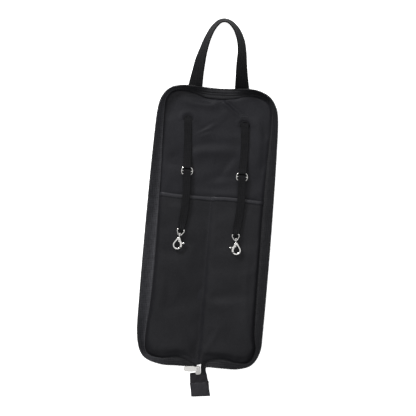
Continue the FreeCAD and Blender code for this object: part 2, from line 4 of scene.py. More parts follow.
import bmesh
import bpy
import numpy as np
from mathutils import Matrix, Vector


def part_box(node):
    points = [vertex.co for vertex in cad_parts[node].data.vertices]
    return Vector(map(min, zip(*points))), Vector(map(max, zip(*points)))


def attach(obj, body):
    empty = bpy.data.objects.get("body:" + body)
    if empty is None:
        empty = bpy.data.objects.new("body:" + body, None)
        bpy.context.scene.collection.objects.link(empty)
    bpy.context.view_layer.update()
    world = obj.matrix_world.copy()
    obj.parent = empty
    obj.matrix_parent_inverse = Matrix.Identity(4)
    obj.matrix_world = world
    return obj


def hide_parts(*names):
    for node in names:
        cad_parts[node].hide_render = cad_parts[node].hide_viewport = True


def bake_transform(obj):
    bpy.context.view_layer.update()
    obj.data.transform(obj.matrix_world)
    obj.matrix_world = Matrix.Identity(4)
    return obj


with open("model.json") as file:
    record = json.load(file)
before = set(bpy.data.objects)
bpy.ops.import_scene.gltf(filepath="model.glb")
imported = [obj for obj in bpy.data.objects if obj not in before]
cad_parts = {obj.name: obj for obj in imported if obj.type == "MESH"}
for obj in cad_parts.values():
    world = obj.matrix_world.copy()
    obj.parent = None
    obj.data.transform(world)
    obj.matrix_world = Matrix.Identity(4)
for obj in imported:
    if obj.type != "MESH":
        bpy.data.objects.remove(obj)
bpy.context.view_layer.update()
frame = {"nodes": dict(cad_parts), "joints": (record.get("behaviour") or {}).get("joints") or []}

# Drum stick bag, unzipped and laid open. The pieces are shaped in millimetres;
# MM turns them into the frame's metres when a mesh is made.
MM = 0.001
SIDES = {"left": -1, "right": 1}


# ---- places read from the frame ----
def box_mm(node):
    low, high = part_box(node)
    return np.array(low) / MM, np.array(high) / MM


def joint(name):
    return next(j for j in frame["joints"] if j["name"] == name)


LOOP_Y = joint("handle_fold")["pos_m"][1] / MM
Z_SHELL = box_mm("left_outer_shell")[1][2]
Z_INSIDE = box_mm("left_lining")[1][2]
Z_POCKET = box_mm("left_pocket_sheet")[1][2]
HEM_Y, MOUTH_Y = [corner[1] for corner in box_mm("left_pocket_hem")]
BODY_BOTTOM, BODY_TOP = [corner[1] for corner in box_mm("left_zipper_coil")]
SPINE_TOP = BODY_TOP - 17.2        # where the cloth starts at the spine's top end
SPINE_BOTTOM = BODY_BOTTOM + 3.0   # and where it stops at the bottom end
STRAP_ROOT = {name: np.array(joint(name + "_strap_swing")["pos_m"]) / MM for name in SIDES}
TAIL_DOWN = np.array(joint("slider_run")["axis"], float)
TAIL_ACROSS = np.array([-TAIL_DOWN[1], TAIL_DOWN[0], 0.0])
TAIL_MIDDLE = sum(box_mm("zipper_slider")) / 2
TAIL_END = box_mm("tail_end_cap")[0][1]


# ---- mesh helpers ----
def add_object(name, data):
    obj = bpy.data.objects.new(name, data)
    bpy.context.scene.collection.objects.link(obj)
    return obj


def link(name, verts, faces, material):
    """A smooth mesh object, with the edges of its thickness kept sharp."""
    mesh = bpy.data.meshes.new(name)
    mesh.from_pydata([tuple(v) for v in np.asarray(verts, float) * MM], [], [tuple(f) for f in faces])
    mesh.validate()
    mesh.update()
    mesh.materials.append(material)
    mesh.shade_smooth()
    mesh.set_sharp_from_angle(angle=math.radians(52))
    return add_object(name, mesh)


def piece(name, shape, material, slot, *nodes):
    """A piece of the bag, standing in for CAD nodes, which it hides. slot is not used."""
    obj = link(name, *shape, material)
    if nodes:
        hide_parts(*nodes)
    return obj


def unit(vectors):
    return vectors / np.maximum(np.linalg.norm(vectors, axis=-1, keepdims=True), 1e-9)


def grid_faces(rows, columns, closed=False, offset=0):
    """Quads over a grid of points; closed joins its last column to its first."""
    faces = []
    for i in range(rows - 1):
        for j in range(columns if closed else columns - 1):
            a = offset + i * columns + j
            b = offset + i * columns + (j + 1) % columns
            faces.append((a, b, b + columns, a + columns))
    return faces


def slab(top, bottom):
    """A closed cloth from two grids of the same shape (rows, columns, 3)."""
    rows, columns = top.shape[:2]
    count = rows * columns
    verts = np.concatenate([top.reshape(-1, 3), bottom.reshape(-1, 3)])
    faces = grid_faces(rows, columns)
    faces += [f[::-1] for f in grid_faces(rows, columns, offset=count)]
    ring = list(range(columns))
    ring += [i * columns + columns - 1 for i in range(1, rows)]
    ring += [(rows - 1) * columns + j for j in range(columns - 2, -1, -1)]
    ring += [i * columns for i in range(rows - 2, 0, -1)]
    for a, b in zip(ring, ring[1:] + ring[:1]):
        faces.append((b, a, a + count, b + count))
    return verts, faces


def catmull(points, samples):
    """A smooth curve through the points, sampled at the given parameters."""
    p = np.asarray(points, float)
    p = np.vstack([2 * p[0] - p[1], p, 2 * p[-1] - p[-2]])
    u = np.clip(np.asarray(samples, float), 0, len(points) - 1 - 1e-9)
    i = u.astype(int)
    t = (u - i)[:, None]
    a, b, c, d = p[i], p[i + 1], p[i + 2], p[i + 3]
    bend = (2 * a - 5 * b + 4 * c - d) * t ** 2
    return 0.5 * (2 * b + (c - a) * t + bend + (3 * b - a - 3 * c + d) * t ** 3)


def run_along(line):
    """Distance along a line at each of its points."""
    return np.concatenate([[0], np.cumsum(np.linalg.norm(np.diff(line, axis=0), axis=1))])


def points_at(line, at):
    """Points at the given distances along a line."""
    run = run_along(line)
    return np.stack([np.interp(at, run, line[:, c]) for c in range(3)], axis=1)


def even_samples(points, spacing):
    """Parameters along a smooth curve that space it evenly in millimetres."""
    dense = np.linspace(0, len(points) - 1, 40 * len(points))
    run = run_along(catmull(points, dense))
    count = max(int(run[-1] / spacing), 2) + 1
    return np.interp(np.linspace(0, run[-1], count), run, dense)


def frames_along(line, up=(0, 0, 1)):
    """Side and normal at each point of a line."""
    tangent = unit(np.gradient(line, axis=0))
    side = unit(np.cross(tangent, np.asarray(up, float)))
    return side, np.cross(side, tangent)


def ring_faces(rings, around):
    """Faces of a run of closed rings, with a cap at each end."""
    faces = [f[::-1] for f in grid_faces(rings, around, closed=True)]
    faces.append(tuple(range(around)))
    faces.append(tuple(range(rings * around - 1, (rings - 1) * around - 1, -1)))
    return faces


WEB_EDGE = 0.35        # rounding of a webbing's long edges


def band(line, across, normal, width, thick, pinch=None):
    """Webbing: a flat section with rounded edges carried along a line.
    pinch is the share of the width left at each point."""
    half = width / 2
    if pinch is None:
        pinch = np.ones(len(line))
    reach = [-half + WEB_EDGE + (width - 2 * WEB_EDGE) * k / 10 for k in range(11)]
    profile = [(x, thick / 2) for x in reach] + [(half, 0.0)]
    profile += [(-x, -thick / 2) for x in reach] + [(-half, 0.0)]
    verts = []
    for p, a, n, share in zip(line, across, normal, pinch):
        for x, z in profile:
            pleat = (1 - share) * 0.9 * math.cos(x * 1.5)
            verts.append(p + a * x * share + n * (z + pleat))
    return np.array(verts), ring_faces(len(line), len(profile))


def tube(line, radius, around=8, up=(0, 0, 1)):
    side, normal = frames_along(np.asarray(line, float), up)
    verts = []
    for p, s, n, r in zip(line, side, normal, np.broadcast_to(radius, len(line))):
        for k in range(around):
            angle = 2 * math.pi * k / around
            verts.append(p + s * r * math.cos(angle) + n * r * math.sin(angle))
    return np.array(verts), ring_faces(len(line), around)


def merge(parts):
    verts = np.concatenate([v for v, f in parts])
    faces, start = [], 0
    for v, f in parts:
        faces += [tuple(i + start for i in face) for face in f]
        start += len(v)
    return verts, faces


STITCH_SINK = 0.12     # how far the ends of a stitch go into the cloth


def stitch_row(line, pitch, length, radius=0.22, lift=0.12, up=(0, 0, 1)):
    """Thread: one short capsule for each stitch along a dense line."""
    line = np.asarray(line, float)
    parts = []
    for k in range(int(run_along(line)[-1] / pitch)):
        points = points_at(line, (k + 0.5) * pitch + np.array([-0.5, -0.25, 0.25, 0.5]) * length)
        points += np.outer([-STITCH_SINK, lift, lift, -STITCH_SINK], up)
        parts.append(tube(points, radius, 6, up=(0.3, 0.5, 0.8)))
    return merge(parts)


# ---- materials ----
class Look:
    """The nodes of a material or of the world."""

    def __init__(self, owner, last="Principled BSDF"):
        owner.use_nodes = True
        self.owner = owner
        self.tree = owner.node_tree
        self.last = self.tree.nodes[last]

    def feed(self, inputs, node=None):
        """Each input takes a value or another node's output."""
        sockets = (node or self.last).inputs
        for key, value in inputs.items():
            if isinstance(value, bpy.types.NodeSocket):
                self.tree.links.new(value, sockets[key])
            else:
                sockets[key].default_value = value

    def node(self, kind, output, inputs, **settings):
        """One output of a new node."""
        node = self.tree.nodes.new("ShaderNode" + kind)
        for key, value in settings.items():
            setattr(node, key, value)
        self.feed(inputs, node)
        return node.outputs[output]

    def noise(self, place, scale, detail=2.0):
        return self.node("TexNoise", "Fac", {"Vector": place, "Scale": scale, "Detail": detail})

    def sum(self, a, share, rest):
        """a times share, plus the rest."""
        return self.node("Math", 0, {0: a, 1: share, 2: rest}, operation="MULTIPLY_ADD")

    def ramp(self, factor, low, high, start=0.0, end=1.0):
        node = self.tree.nodes.new("ShaderNodeValToRGB")
        self.feed({"Fac": factor}, node)
        for element, colour, position in zip(node.color_ramp.elements, (low, high), (start, end)):
            element.color = (*colour, 1)
            element.position = position
        return node.outputs["Color"]

    def bump(self, height, strength, distance):
        return self.node("Bump", "Normal", {"Strength": strength, "Distance": distance, "Height": height})

    def fade(self, colour, place, share, start, end):
        """Painted shade: dims a colour to a share of itself from start to end across the bag."""
        limits = {"From Min": start * MM, "From Max": end * MM, "To Min": 1.0, "To Max": share}
        limits["Value"] = self.node("SeparateXYZ", "X", {"Vector": place})
        fall = self.node("MapRange", "Result", limits, interpolation_type="SMOOTHSTEP")
        return self.node("VectorMath", "Vector", {0: colour, "Scale": fall}, operation="SCALE")


THREAD_WAVE = 0.62 / (2 * math.pi)     # wave texture scale that gives one band per thread


def cloth(name, dark, light, thread, roughness, sheen, bump, blotch, specular, fade=None):
    """Woven cloth: crossing threads, slubs and slow shade changes. dark and
    light are in thousandths, thread is the thread spacing in millimetres."""
    look = Look(bpy.data.materials.new(name))
    place = look.node("TexCoord", "Object", {})
    waves = {"Vector": place, "Scale": THREAD_WAVE / (thread * MM), "Distortion": 0.6, "Detail": 1.0}
    warp, weft = [look.node("TexWave", "Fac", waves, bands_direction=direction) for direction in "XY"]
    weave = look.node("Math", 0, {0: warp, 1: weft}, operation="MAXIMUM")
    slub = look.noise(place, 420.0, 4.0)
    shade = look.noise(place, blotch, 3.0)
    tone = look.sum(shade, 0.5, look.sum(slub, 0.35, look.sum(weave, 0.35, 0.0)))
    colour = look.ramp(tone, np.multiply(dark, 0.001), np.multiply(light, 0.001), 0.25, 0.85)
    # Painted shade: where it is given, the colour is dimmed across the bag.
    if fade:
        colour = look.fade(colour, place, *fade)
    look.feed({
        "Base Color": colour,
        "Roughness": look.sum(slub, 0.16, roughness - 0.08),
        "Normal": look.bump(look.sum(slub, 0.8, weave), bump, 0.00025),
        "Sheen Weight": sheen,
        "Sheen Roughness": 0.45,
        "Sheen Tint": (0.72, 0.75, 0.82, 1),
        "Specular IOR Level": specular,
    })
    return look.owner


def metal(name, colour, roughness):
    look = Look(bpy.data.materials.new(name))
    wear = look.noise(look.node("TexCoord", "Object", {}), 900.0, 5.0)
    look.feed({
        "Base Color": look.ramp(wear, [c * 0.86 for c in colour], colour),
        "Roughness": look.sum(wear, 0.12, roughness),
        "Normal": look.bump(wear, 0.08, 0.0001),
        "Metallic": 1.0,
    })
    return look.owner


def plastic(name, dark, light, roughness):
    look = Look(bpy.data.materials.new(name))
    grain = look.noise(look.node("TexCoord", "Object", {}), 700.0)
    look.feed({
        "Base Color": look.ramp(grain, dark, light),
        "Roughness": look.sum(grain, 0.15, roughness - 0.07),
        "Specular IOR Level": 0.4,
    })
    return look.owner


# Dark and light colour, thread, roughness, sheen, bump, blotch scale, specular, and for the zipper tape a
# painted shade across the bag.
LINING = cloth("satin_lining", (3, 3, 4), (15, 15, 18), 0.45, 0.42, 0.02, 0.22, 26, 0.11)
POCKET = cloth("pocket_cloth", (3, 3, 4), (15, 15, 17), 0.45, 0.42, 0.02, 0.22, 16, 0.11)
# Painted highlight: the hem is the pocket's cloth folded over. Its raised, rounded fold is real, and its
# lighter colour stands in for the light that the fold catches.
HEM = cloth("lit_hem_cloth", (10, 10, 12), (22, 22, 26), 0.45, 0.40, 0.05, 0.30, 60, 0.2)
SHELL = cloth("shell_cloth", (6, 6, 7), (16, 16, 18), 0.8, 0.66, 0.06, 0.7, 40, 0.2)
BINDING = cloth("binding_cloth", (3, 3, 3.5), (8, 8, 9), 0.7, 0.75, 0.03, 0.6, 90, 0.12)
HANDLE_WEB = cloth("handle_webbing", (1.5, 1.5, 1.8), (6, 6, 6.5), 1.3, 0.70, 0.015, 0.9, 120, 0.05)
STRAP_WEB = cloth("strap_webbing", (2, 2, 2.4), (8, 8, 9), 0.9, 0.60, 0.02, 0.8, 120, 0.08)
CAP = cloth("end_cap_cloth", (10, 10, 12), (28, 27, 31), 0.5, 0.52, 0.03, 0.4, 80, 0.15)
TAIL_TAPE = cloth("tail_tape_cloth", (6, 5.5, 7), (16, 15, 17), 0.8, 0.56, 0.03, 0.8, 150, 0.12)
# Painted shade: a darker copy of the zipper tape's cloth, for the tape's gathered neck beside the slider and
# inside the slider's channel.
NECK_TAPE_SHADED = cloth("shaded_neck_tape_cloth", (2, 2, 2.5), (11, 11, 12), 0.8, 0.6, 0.02, 0.8, 150, 0.08)
FOAM = cloth("foam_padding", (20, 20, 20), (50, 50, 50), 1.6, 0.9, 0, 0.8, 200, 0.35)
THREAD = cloth("sewing_thread", (10, 10, 12), (40, 40, 46), 0.3, 0.5, 0.05, 0.4, 300, 0.2)
COIL = plastic("coil_plastic", (0.003, 0.003, 0.0035), (0.009, 0.009, 0.010), 0.35)
CHROME = metal("bright_metal", (0.72, 0.71, 0.69), 0.07)
SLIDER_METAL = metal("slider_metal", (0.48, 0.47, 0.46), 0.16)
# Painted shade: the zipper tape is lightest on the left side of the bag and dims towards the spine, staying
# dim over the right side; the dimming stands in for the shade on the right tape's face.
TAPE_PAINTED_SHADE = (0.29, -88, -40)
TAPE = cloth("zipper_tape_cloth", (12, 12, 13.5), (56, 56, 62), 0.9, 0.58, 0.03, 0.9, 160.0, 0.12, TAPE_PAINTED_SHADE)


# ---- shape of the open bag ----
# Points from the spine's top end round one cover to the slider, each
# (seam out, seam y, coil out, coil y); "out" is the distance from the middle
# of the spine. The tape runs between the two lines.
RIM = {
    "left": [
        (0, 177.5, 0, 193.2), (20, 178.5, 20, 193.2), (40, 184.2, 42, 193.4), (58, 188, 62, 193),
        (76, 184, 80, 187), (86, 170, 92, 172), (87, 150, 97, 150), (86, 110, 98.8, 110),
        (84, 40, 100.2, 40), (82.5, -60, 101.3, -60), (83, -150, 101.3, -150), (87, -218, 99.5, -215),
        (82, -244.5, 88, -247.6), (60, -251.5, 60, -258.8), (31, -248, 31, -259.6), (12, -253, 11, -260.2),
        (2, -258, 0.5, -260.6),
    ],
    "right": [
        (0, 177.5, 0, 193.2), (20, 179.5, 20, 194), (42, 184.8, 44, 195.2), (60, 187, 63, 194),
        (78, 181, 82, 185.4), (87.5, 168, 93, 170), (89, 148, 98, 148), (88, 100, 100.2, 100),
        (87, 20, 101.8, 20), (88, -80, 102.6, -80), (89.5, -190, 102.2, -190), (94, -226, 100.4, -226),
        (85.5, -247, 88.6, -248.6), (66, -250, 67, -257.1), (42, -246, 42, -258.2),
        (24, -248.6, 22.5, -258.9), (13.5, -254, 12.5, -260.4),
    ],
}
TAPE_WIDTH = 21.5      # seam to coil, measured up the slope of the tape
COIL_HIGH = 18.3       # the coil's greatest height
COIL_LOW = 3.4         # its height where the tape lies flat over the spine
Z_SEAM = Z_INSIDE - 0.5
RIM_STEP = 1.6


def smooth_step(t):
    """0 to 1 with an even start and end."""
    t = np.clip(t, 0, 1)
    return t * t * (3 - 2 * t)


def rim_lines(name):
    """Seam line and coil line of one cover, point for point."""
    side = SIDES[name]
    seam_out, seam_y, coil_out, coil_y = np.array(RIM[name], float).T
    seam = np.column_stack([side * seam_out, seam_y, np.full(len(seam_y), Z_SEAM)])
    plan = np.hypot(seam_out - coil_out, seam_y - coil_y)
    stand = Z_SEAM + np.sqrt(np.clip(TAPE_WIDTH ** 2 - plan ** 2, 0, None))
    away = smooth_step((coil_out - 10.0) / 38.0)
    height = COIL_LOW + (np.minimum(stand, COIL_HIGH) - COIL_LOW) * away
    coil = np.column_stack([side * coil_out, coil_y, height])
    samples = even_samples(coil, RIM_STEP)
    return catmull(seam, samples), catmull(coil, samples)


RIM_LINES = {name: rim_lines(name) for name in SIDES}


def inward(name):
    """Plan direction from the tape's free edge to the seam."""
    seam, coil = RIM_LINES[name]
    return unit(seam[:, :2] - coil[:, :2])


def seam_distance(x, y, name):
    """How far each point lies from the cover's seam, in plan."""
    seam = RIM_LINES[name][0][:, :2]
    near = np.full(x.shape, 1e9)
    for px, py in seam:
        near = np.minimum(near, (x - px) ** 2 + (y - py) ** 2)
    return np.sqrt(near)


def bump_at(x, y, cx, cy, rx, ry, height, turn=0.0):
    """A soft hump or hollow on the cloth."""
    c, s = math.cos(math.radians(turn)), math.sin(math.radians(turn))
    u = ((x - cx) * c + (y - cy) * s) / rx
    v = (-(x - cx) * s + (y - cy) * c) / ry
    return height * np.exp(-(u * u + v * v))


def crease(x, y, start, middle, end, height, width, lean=0.6):
    """A fold line through three points: a ridge with a dip along one side."""
    t = np.linspace(0, 1, 25)
    p = [np.array(q, float) for q in (start, middle, end)]
    path = np.outer((1 - t) ** 2, p[0]) + np.outer(2 * t * (1 - t), 2 * p[1] - (p[0] + p[2]) / 2)
    path += np.outer(t ** 2, p[2])
    best = np.full(x.shape, 1e9)
    signed = np.zeros(x.shape)
    share = np.zeros(x.shape)
    for k in range(len(path) - 1):
        a, d = path[k], path[k + 1] - path[k]
        length = math.hypot(*d)
        s = np.clip(((x - a[0]) * d[0] + (y - a[1]) * d[1]) / length ** 2, 0, 1)
        dx, dy = x - a[0] - s * d[0], y - a[1] - s * d[1]
        distance = np.hypot(dx, dy)
        nearer = distance < best
        best = np.where(nearer, distance, best)
        signed = np.where(nearer, np.sign(d[0] * dy - d[1] * dx) * distance, signed)
        share = np.where(nearer, (k + s) / (len(path) - 1), share)
    taper = np.clip(np.sin(math.pi * np.clip(share * 0.94 + 0.03, 0, 1)), 0, 1) ** 0.7
    ridge = np.exp(-(signed / width) ** 2)
    dip = lean * np.exp(-((signed - 1.6 * width) / width) ** 2)
    return height * taper * (ridge - dip)


def root_fold(x, y, name):
    """The lining is drawn up in an arch over the place where a strap leaves it."""
    u = (x - STRAP_ROOT[name][0]) / 9.5
    v = (y - STRAP_ROOT[name][1]) / 9.0
    round_it = np.hypot(u, v)
    above = smooth_step((v + 0.55) / 0.5)
    ridge = 0.7 * np.exp(-((round_it - 1.25) / 0.45) ** 2)
    well = 1.5 * np.exp(-((round_it - 0.55) / 0.32) ** 2)
    return (ridge - well) * above


def ripple(x, y, seed):
    """Slow unevenness of cloth that has been folded and handled."""
    rng = np.random.default_rng(seed)
    total = np.zeros(x.shape)
    for _ in range(9):
        wavelength = rng.uniform(28, 90)
        angle = rng.uniform(0, math.pi)
        phase = rng.uniform(0, 2 * math.pi)
        along = x * math.cos(angle) + y * math.sin(angle)
        total += np.sin(2 * math.pi * along / wavelength + phase) * wavelength / 90
    return total / 9


def low_end(y, start=60.0, length=40.0):
    """0 over most of the bag, 1 at its bottom end."""
    return smooth_step((BODY_BOTTOM + start - y) / length)


# Fold lines: start, middle, end, height, width, and how deep the dip beside
# the ridge is. Humps: place, size along x and y, height, turn.
LINING_FOLDS = [
    ((6, 173), (20, 163), (38, 150), 1.5, 3, 1), ((-30, 117), (-16, 125), (0, 137), 0.75, 3, 0.8),
    ((-27, 112), (-18, 116), (-8, 120), 0.6, 2.6), ((-2, 37), (20, 42), (44, 46), 0.7, 6, 0.9),
    ((-36, 82), (-10, 90), (34, 92), 1.5, 8, 0.9), ((32, 88), (20, 68), (8, 48), -0.9, 6, 0.8),
    ((-72, 34), (-62, 62), (-68, 104), 0.8, 9), ((64, 152), (72, 110), (68, 60), 0.8, 7, 0.8),
    ((-62, 172), (-30, 166), (2, 170), 1, 6, 0.8),
]
LINING_HUMPS = [
    (0, 104, 36, 14, 0.9, 4), (20, 22, 50, 6, 1), (-64, 150, 16, 26, -0.8), (-45, 114, 9, 15, -1),
]
POCKET_FOLDS = [
    ((-50, -186), (-24, -214), (-10, -236), 1.3, 9, 0.9),
    ((10, -238), (22, -216), (30, -196), 1, 5, 0.8), ((6, -150), (28, -158), (54, -150), 1.1, 9, 0.9),
    ((-76, -50), (-68, -110), (-73, -180), 0.7, 8), ((74, -40), (68, -100), (74, -190), 0.8, 6),
    ((-60, -10), (-50, -70), (-54, -130), 0.6, 10),
]


def lining_height(x, y, rim):
    """Height of the padded lining; rim is the distance to the seam."""
    z = Z_INSIDE + 0.75 + 1.2 * ripple(x, y, 7)
    for fold in LINING_FOLDS:
        z += crease(x, y, *fold)
    for hump in LINING_HUMPS:
        z += bump_at(x, y, *hump)
    for name in SIDES:
        z += root_fold(x, y, name)
    z -= (1.5 + 1.1 * low_end(y)) * np.exp(-(rim / 3.0) ** 2)
    return np.clip(z, Z_SHELL + 0.8, None)


def pocket_height(x, y, rim):
    """The pockets puff between the divider seam, the sides and the bottom,
    and stand fuller towards the bottom."""
    slope = np.where(x < 0, 17.0, 4.5)
    from_divider = 1 - np.exp(-(np.abs(x - 0.6) / slope) ** 1.5)
    reach = 4.2 + 9.0 * low_end(y, 40.0, 30.0)
    from_rim = 1 - np.exp(-(rim / reach) ** 1.4)
    down = np.clip((MOUTH_Y - y) / (MOUTH_Y - BODY_BOTTOM), 0, 1)
    full = Z_POCKET - Z_INSIDE - 3.2 + 3.4 * down ** 1.6
    z = Z_INSIDE + 1.0 + full * from_divider * from_rim
    inside = from_rim * from_divider
    z += 0.9 * ripple(x, y, 21) * inside
    for fold in POCKET_FOLDS:
        z += crease(x, y, *fold) * inside
    z -= 1.2 * np.exp(-(rim / 2.4) ** 2)
    return np.clip(z, Z_SHELL + 1.2, None)


COLUMNS = 62
SHELL_LIFT = 0.5       # room under the shell for the handle's sewn ends
HEM_DEPTH = 5.6
SHELL_THICK = 0.9
LINING_THICK = 0.5
POCKET_THICK = 0.7
TAPE_THICK = 0.8


def spread(columns):
    """Shares of the way from the spine to the seam, closer together at the seam."""
    return np.linspace(0, 1, columns) ** 0.9


def fan(name, spine_high, spine_low, columns=COLUMNS, first=0, inset=0.0):
    """Plan points over one cover's side of the spine. Rows run from the middle
    of the spine out to the seam; first is the seam line's point they start at."""
    outer = RIM_LINES[name][0][first:, :2].copy()
    outer[:, 0] -= SIDES[name] * inset * np.clip(np.abs(outer[:, 0]) / 40.0, 0, 1)
    run = run_along(outer)
    drop = np.clip((outer[0, 1] - outer[:, 1]) / max(outer[0, 1] - outer[-1, 1], 1e-6), 0, 1)
    share = 0.35 * run / run[-1] + 0.65 * np.maximum.accumulate(drop)
    share = (share - share[0]) / (share[-1] - share[0])
    spine_y = spine_high + (spine_low - spine_high) * share
    edge = spread(columns)
    return np.outer(outer[:, 0], edge), spine_y[:, None] * (1 - edge) + outer[:, 1:] * edge


def folds_with(obj):
    """Bakes the object's placement into its mesh."""
    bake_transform(obj)


def grid_solid(name, x, y, top, bottom):
    """A closed cloth over one cover's plan points, between two heights."""
    verts, faces = slab(np.dstack([x, y, top]), np.dstack([x, y, bottom]))
    return verts, [f[::-1] for f in faces] if SIDES[name] > 0 else faces


def make_shell(name):
    """Outer shell: flat underneath, turned up to the seam at its rim."""
    x, y = fan(name, SPINE_TOP, SPINE_BOTTOM)
    turn = np.clip((spread(COLUMNS) - 0.955) / 0.045, 0, 1)
    rise = (Z_SEAM - 1.6) * (1 - np.sqrt(1 - turn ** 2))
    bottom = np.broadcast_to(rise + SHELL_LIFT, x.shape)
    shape = grid_solid(name, x, y, bottom + SHELL_THICK, bottom)
    return piece(name + "_shell_cloth", shape, SHELL, "shell_fabric", name + "_outer_shell")


def make_lining(name):
    x, y = fan(name, SPINE_TOP, SPINE_BOTTOM)
    top = lining_height(x, y, seam_distance(x, y, name))
    top = top + np.maximum(settle(x, y, top, slack=0.004, seed=31), -0.6)
    shape = grid_solid(name, x, y, top, top - LINING_THICK)
    return piece(name + "_lining_cloth", shape, LINING, "lining_fabric", name + "_lining")


def make_padding(name):
    x, y = fan(name, BODY_TOP - 18.5, BODY_BOTTOM + 4.5, columns=40, inset=2.0)
    top = lining_height(x, y, seam_distance(x, y, name)) - 1.5
    shape = grid_solid(name, x, y, top, np.full(x.shape, SHELL_LIFT + 1.0))
    return piece(name + "_padding", shape, FOAM, "foam", name + "_foam_pad")


def mouth_point(name):
    """Index of the seam line's point where the pocket's mouth meets it."""
    seam = RIM_LINES[name][0]
    return int(np.argmin(np.abs(seam[:, 1] - MOUTH_Y) + np.where(np.abs(seam[:, 0]) < 60, 1e3, 0)))


def hem_line(x):
    """The hem waves a little and dips to the divider."""
    return 0.9 * np.sin(x / 21.0) - 0.5 * np.cos(x / 9.0) * np.exp(-(x / 30.0) ** 2)


def make_pocket(name):
    x, y = fan(name, MOUTH_Y, BODY_BOTTOM + 3.4, first=mouth_point(name))
    y = y + hem_line(x) * np.clip((y - HEM_Y + 30) / 30.0, 0, 1)
    top = pocket_height(x, y, seam_distance(x, y, name))
    rise = settle(x, y, top, slack=0.005, seed=43, mouth=True)
    top = top + rise * smooth_step((HEM_Y - 4 - y) / 14.0)
    below = MOUTH_Y - HEM_DEPTH + hem_line(x) - y
    top = top + 0.85 * (1 / (1 + np.exp(below / 0.5)))
    top = top - 0.5 * np.exp(-((below - 1.2) / 1.1) ** 2)
    shape = grid_solid(name, x, y, top, top - POCKET_THICK)
    return piece(name + "_pocket_cloth", shape, POCKET, "lining_fabric", name + "_pocket_sheet")


def make_hem(name):
    """The folded hem along the pocket's mouth."""
    reach = abs(RIM_LINES[name][0][mouth_point(name), 0]) - 0.8
    out, across = np.meshgrid(np.linspace(0, reach, 70), np.linspace(0, 1, 9), indexing="ij")
    x = SIDES[name] * out
    y = MOUTH_Y + 0.4 - HEM_DEPTH * across + hem_line(x)
    cloth_top = pocket_height(x, y, seam_distance(x, y, name))
    top = cloth_top + 0.35 + 1.0 * np.sin(math.pi * np.clip(across * 0.92 + 0.08, 0, 1)) ** 0.5
    shape = grid_solid(name, x, y, top, cloth_top - 0.75)
    # The hem's lighter cloth paints a highlight on its rounded fold.
    return piece(name + "_hem_band", shape, HEM, "hem_band", name + "_pocket_hem")


def rim_profile(w):
    """Across the tape: out, up and the small steps of its layers."""
    out = w ** 0.85
    up = w ** 1.25
    relief = 0.45 * np.exp(-((w - 0.06) / 0.05) ** 2) + 0.35 / (1 + np.exp(-(w - 0.44) / 0.012))
    relief += 0.30 * np.exp(-((w - 0.80) / 0.03) ** 2) - 0.35 * np.exp(-((w - 0.50) / 0.02) ** 2)
    return out, up, relief


def on_tape(name, w):
    """The line round the tape at share w of its width, and its layers' rise."""
    out, up, relief = rim_profile(w)
    seam, coil = RIM_LINES[name]
    line = seam + (coil - seam) * out
    line[:, 2] = seam[:, 2] + (coil[:, 2] - seam[:, 2]) * up + relief * 0.8
    return line, relief


def make_tape(name):
    seam = RIM_LINES[name][0]
    at_top = smooth_step((seam[:, 1] - 168.0) / 8.0) * smooth_step((70.0 - np.abs(seam[:, 0])) / 20.0)
    at_low = smooth_step((-236.0 - seam[:, 1]) / 8.0) * 0.8
    run = np.arange(len(seam)) * RIM_STEP
    wave = 0.5 * np.sin(run / 17.0) + 0.35 * np.sin(run / 7.3 + 1.0)
    lines = []
    for w in np.linspace(0, 1, 34):
        belly = math.sin(math.pi * w)
        line, relief = on_tape(name, w)
        pleat = 0.55 * np.sin(w * 21.0 + run / 30.0) * belly * (at_top + at_low)
        line[:, 2] += wave * belly * 0.8 + pleat
        line[:, :2] += inward(name) * (relief * 0.6)
        lines.append(line)
    top = np.stack(lines, axis=1)
    normal = unit(np.cross(np.gradient(top, axis=0), np.gradient(top, axis=1)) * -SIDES[name])
    bottom = top - normal * TAPE_THICK
    bottom[:, :, 2] = np.maximum(bottom[:, :, 2], 0.1)
    verts, faces = slab(top, bottom)
    if SIDES[name] < 0:
        faces = [f[::-1] for f in faces]
    return piece(name + "_tape_cloth", (verts, faces), TAPE, "zipper_tape", name + "_zipper_tape")


COIL_PITCH = 1.5
COIL_POINTS = 8        # points in one turn of the coil


def make_coil(name):
    """Coil teeth: a fine helix along the tape's free edge."""
    coil = RIM_LINES[name][1]
    length = run_along(coil)[-1]
    centre = points_at(coil, np.linspace(0, length, int(length / COIL_PITCH) * COIL_POINTS + 1))
    side, normal = frames_along(centre)
    angle = 2 * math.pi * np.arange(len(centre)) / COIL_POINTS
    helix = centre + side * (1.0 * np.cos(angle))[:, None] + normal * (0.75 * np.sin(angle))[:, None]
    shape = merge([tube(helix, 0.34, 5), tube(centre[::4], 0.6, 6)])
    return piece(name + "_coil_teeth", shape, COIL, "zipper_coil", name + "_zipper_coil")


def make_binding(name):
    """A narrow bound edge over the seam between lining and tape."""
    line = RIM_LINES[name][0].copy()
    line[:, :2] += inward(name) * 0.5
    line[:, 2] += 0.5
    # The bound edge is real. Making it thicker along the bottom end and the top is painted shade: more dark
    # cloth shows where the seam lies deeper in shade.
    radius = 0.55 + 0.4 * low_end(line[:, 1]) + 0.25 * smooth_step((line[:, 1] - 160.0) / 12.0)
    return piece(name + "_bound_seam", tube(line, radius), BINDING, "binding", name + "_seam_binding")


SETTLE_CAP = 1.7       # the furthest that a point of the cloth may settle
SETTLE_STEPS = 20
CLOTH = {
    "quality": 6, "mass": 0.02, "tension_stiffness": 20, "compression_stiffness": 20,
    "shear_stiffness": 8, "bending_stiffness": 4.0, "vertex_group_mass": "held",
    "use_pressure": True, "uniform_pressure_force": 0.2,
}


